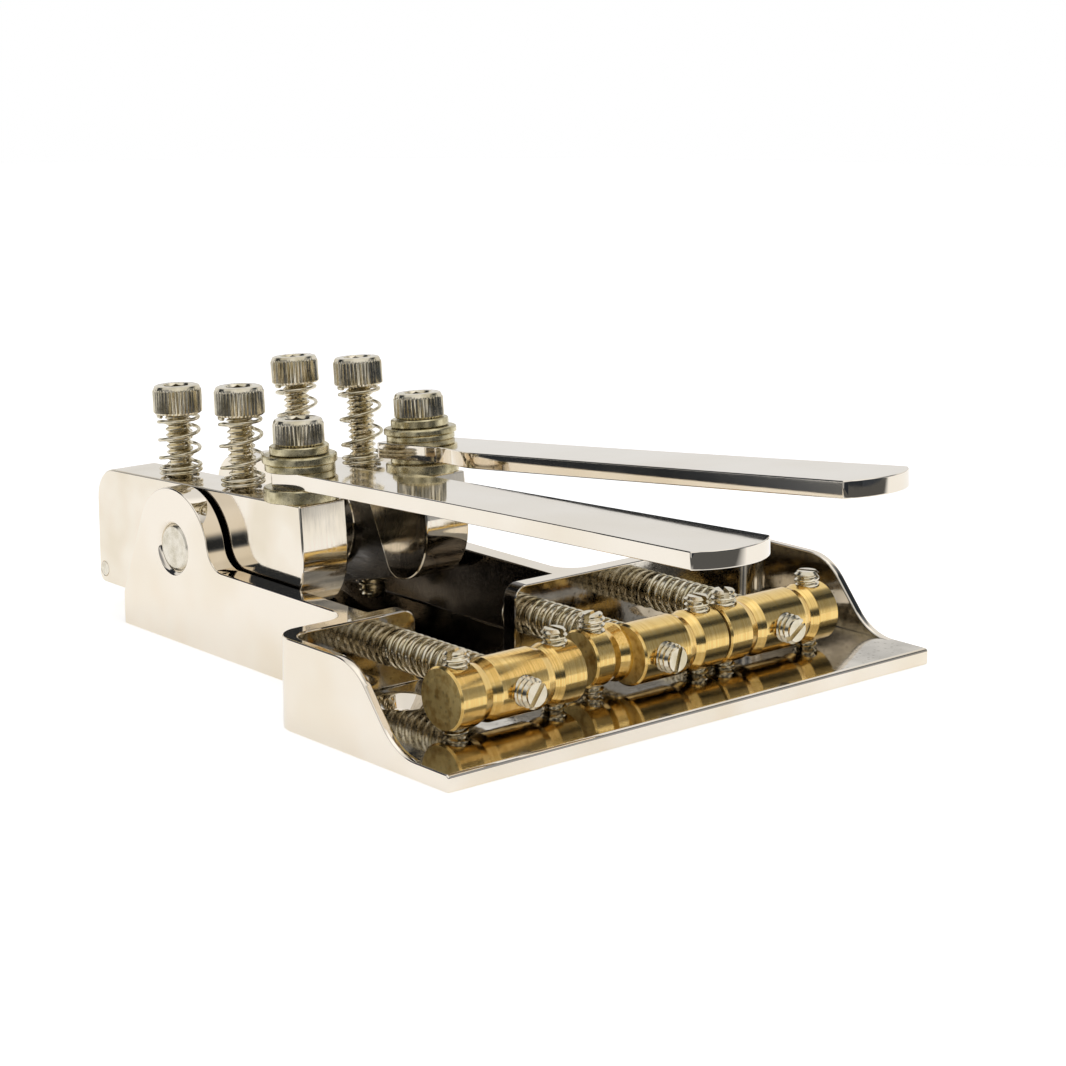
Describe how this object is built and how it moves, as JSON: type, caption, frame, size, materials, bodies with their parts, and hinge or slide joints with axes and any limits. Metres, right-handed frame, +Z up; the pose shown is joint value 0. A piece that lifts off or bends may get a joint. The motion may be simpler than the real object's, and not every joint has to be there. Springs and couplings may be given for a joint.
{
  "type": "guitar bridge",
  "caption": "Electric guitar bridge tray with brass barrel saddles and palm levers that rock string-bending blocks on a cross shaft behind it.",
  "frame": {"origin": "middle of the row of four mounting screws, on the underside of the plate", "axes": "+Z up off the guitar's top, +Y back along the strings from the saddles to the blocks, +X across the strings from the treble side to the bass side"},
  "size_m": [0.082, 0.1237, 0.0371],
  "materials": {
    "polished_plate": "mirror-polished nickel",
    "polished_block": "mirror-polished nickel",
    "polished_lever": "mirror-polished nickel",
    "ground_shaft": "ground steel",
    "nickel_screw": "nickel-plated, knurled heads",
    "zinc_washer": "yellow passivated zinc",
    "turned_brass": "bright turned brass",
    "spring_wire": "nickel-plated spring wire"
  },
  "bodies": {
    "plate": {"bridge_plate": "polished_plate", "pivot_shaft": "ground_shaft", "thrust_washer": "ground_shaft", "middle_collar": "ground_shaft", "outer_collar": "ground_shaft", "treble_intonation_spring": "spring_wire", "middle_intonation_spring": "spring_wire", "bass_intonation_spring": "spring_wire"},
    "b_block": {"b_bender_block": "polished_block", "b_anchor_pin": "ground_shaft", "b_lever_bolt": "nickel_screw", "b_lock_washer": "zinc_washer", "b_upper_washer": "zinc_washer", "b_lower_washer": "zinc_washer", "b_under_washer": "zinc_washer", "b_tuning_spring": "spring_wire", "b_stop_spring": "spring_wire"},
    "b_lever": {"b_lever": "polished_lever"},
    "b_tuning_screw": {"b_tuning_screw": "nickel_screw"},
    "b_stop_screw": {"b_stop_screw": "nickel_screw"},
    "g_block": {"g_bender_block": "polished_block", "g_anchor_pin": "ground_shaft", "g_lever_bolt": "nickel_screw", "g_lock_washer": "zinc_washer", "g_upper_washer": "zinc_washer", "g_lower_washer": "zinc_washer", "g_under_washer": "zinc_washer", "g_spacer": "zinc_washer", "g_tuning_spring": "spring_wire", "g_stop_spring": "spring_wire"},
    "g_lever": {"g_lever": "polished_lever"},
    "g_tuning_screw": {"g_tuning_screw": "nickel_screw"},
    "g_stop_screw": {"g_stop_screw": "nickel_screw"},
    "treble_intonation_screw": {"treble_intonation_screw": "nickel_screw"},
    "treble_saddle": {"treble_saddle": "turned_brass"},
    "treble_left_height_screw": {"treble_left_height_screw": "nickel_screw"},
    "treble_right_height_screw": {"treble_right_height_screw": "nickel_screw"},
    "middle_intonation_screw": {"middle_intonation_screw": "nickel_screw"},
    "middle_saddle": {"middle_saddle": "turned_brass"},
    "middle_left_height_screw": {"middle_left_height_screw": "nickel_screw"},
    "middle_right_height_screw": {"middle_right_height_screw": "nickel_screw"},
    "bass_intonation_screw": {"bass_intonation_screw": "nickel_screw"},
    "bass_saddle": {"bass_saddle": "turned_brass"},
    "bass_left_height_screw": {"bass_left_height_screw": "nickel_screw"},
    "bass_right_height_screw": {"bass_right_height_screw": "nickel_screw"}
  },
  "joints": [
    {"name": "b_bend", "type": "hinge", "parent": "plate", "child": "b_block", "pos_m": [-0.0218, 0.0471, 0.0131], "axis": [1, 0, 0], "range_deg": [0, 8]},
    {"name": "b_lever_swivel", "type": "hinge", "parent": "b_block", "child": "b_lever", "pos_m": [-0.0218, 0.02752, 0.02511], "axis": [0, 0.0541, 0.9985], "range_deg": [-14, 4]},
    {"name": "b_tuning_travel", "type": "slide", "parent": "b_block", "child": "b_tuning_screw", "axis": [0, 0.0541, 0.9985], "range_m": [0, 0.0015], "deforming": ["b_tuning_spring"]},
    {"name": "b_stop_travel", "type": "slide", "parent": "b_block", "child": "b_stop_screw", "axis": [0, 0.0541, 0.9985], "range_m": [-0.0009, 0.0015], "deforming": ["b_stop_spring"]},
    {"name": "g_bend", "type": "hinge", "parent": "plate", "child": "g_block", "pos_m": [-0.0013, 0.0471, 0.0131], "axis": [1, 0, 0], "range_deg": [0, 8]},
    {"name": "g_lever_swivel", "type": "hinge", "parent": "g_block", "child": "g_lever", "pos_m": [-0.0013, 0.02805, 0.02645], "axis": [0, 0.0924, 0.9957], "range_deg": [-4, 12]},
    {"name": "g_tuning_travel", "type": "slide", "parent": "g_block", "child": "g_tuning_screw", "axis": [0, 0.0924, 0.9957], "range_m": [0, 0.0015], "deforming": ["g_tuning_spring"]},
    {"name": "g_stop_travel", "type": "slide", "parent": "g_block", "child": "g_stop_screw", "axis": [0, 0.0924, 0.9957], "range_m": [-0.0009, 0.0015], "deforming": ["g_stop_spring"]},
    {"name": "treble_intonation_turn", "type": "hinge", "parent": "plate", "child": "treble_intonation_screw", "pos_m": [-0.0229, 0.008, 0.00693], "axis": [0, 1, 0], "range_deg": [-907, 907]},
    {"name": "treble_saddle_slide", "type": "slide", "parent": "plate", "child": "treble_saddle", "axis": [0, 1, 0], "range_m": [-0.002, 0.002], "deforming": ["treble_intonation_spring"]},
    {"name": "treble_left_height", "type": "slide", "parent": "treble_saddle", "child": "treble_left_height_screw", "axis": [0, 0, 1], "range_m": [0, 0.0007]},
    {"name": "treble_right_height", "type": "slide", "parent": "treble_saddle", "child": "treble_right_height_screw", "axis": [0, 0, 1], "range_m": [0, 0.0007]},
    {"name": "middle_intonation_turn", "type": "hinge", "parent": "plate", "child": "middle_intonation_screw", "pos_m": [0.0002, 0.008, 0.00693], "axis": [0, 1, 0], "range_deg": [-907, 907]},
    {"name": "middle_saddle_slide", "type": "slide", "parent": "plate", "child": "middle_saddle", "axis": [0, 1, 0], "range_m": [-0.002, 0.002], "deforming": ["middle_intonation_spring"]},
    {"name": "middle_left_height", "type": "slide", "parent": "middle_saddle", "child": "middle_left_height_screw", "axis": [0, 0, 1], "range_m": [0, 0.0007]},
    {"name": "middle_right_height", "type": "slide", "parent": "middle_saddle", "child": "middle_right_height_screw", "axis": [0, 0, 1], "range_m": [0, 0.0007]},
    {"name": "bass_intonation_turn", "type": "hinge", "parent": "plate", "child": "bass_intonation_screw", "pos_m": [0.0215, 0.008, 0.00693], "axis": [0, 1, 0], "range_deg": [-907, 907]},
    {"name": "bass_saddle_slide", "type": "slide", "parent": "plate", "child": "bass_saddle", "axis": [0, 1, 0], "range_m": [-0.002, 0.002], "deforming": ["bass_intonation_spring"]},
    {"name": "bass_left_height", "type": "slide", "parent": "bass_saddle", "child": "bass_left_height_screw", "axis": [0, 0, 1], "range_m": [0, 0.0007]},
    {"name": "bass_right_height", "type": "slide", "parent": "bass_saddle", "child": "bass_right_height_screw", "axis": [0, 0, 1], "range_m": [0, 0.0007]}
  ],
  "couplings": [
    {"joint": "treble_intonation_turn", "follows": "treble_saddle_slide", "rad_per_m": -7913.3},
    {"joint": "middle_intonation_turn", "follows": "middle_saddle_slide", "rad_per_m": -7913.3},
    {"joint": "bass_intonation_turn", "follows": "bass_saddle_slide", "rad_per_m": -7913.3}
  ]
}
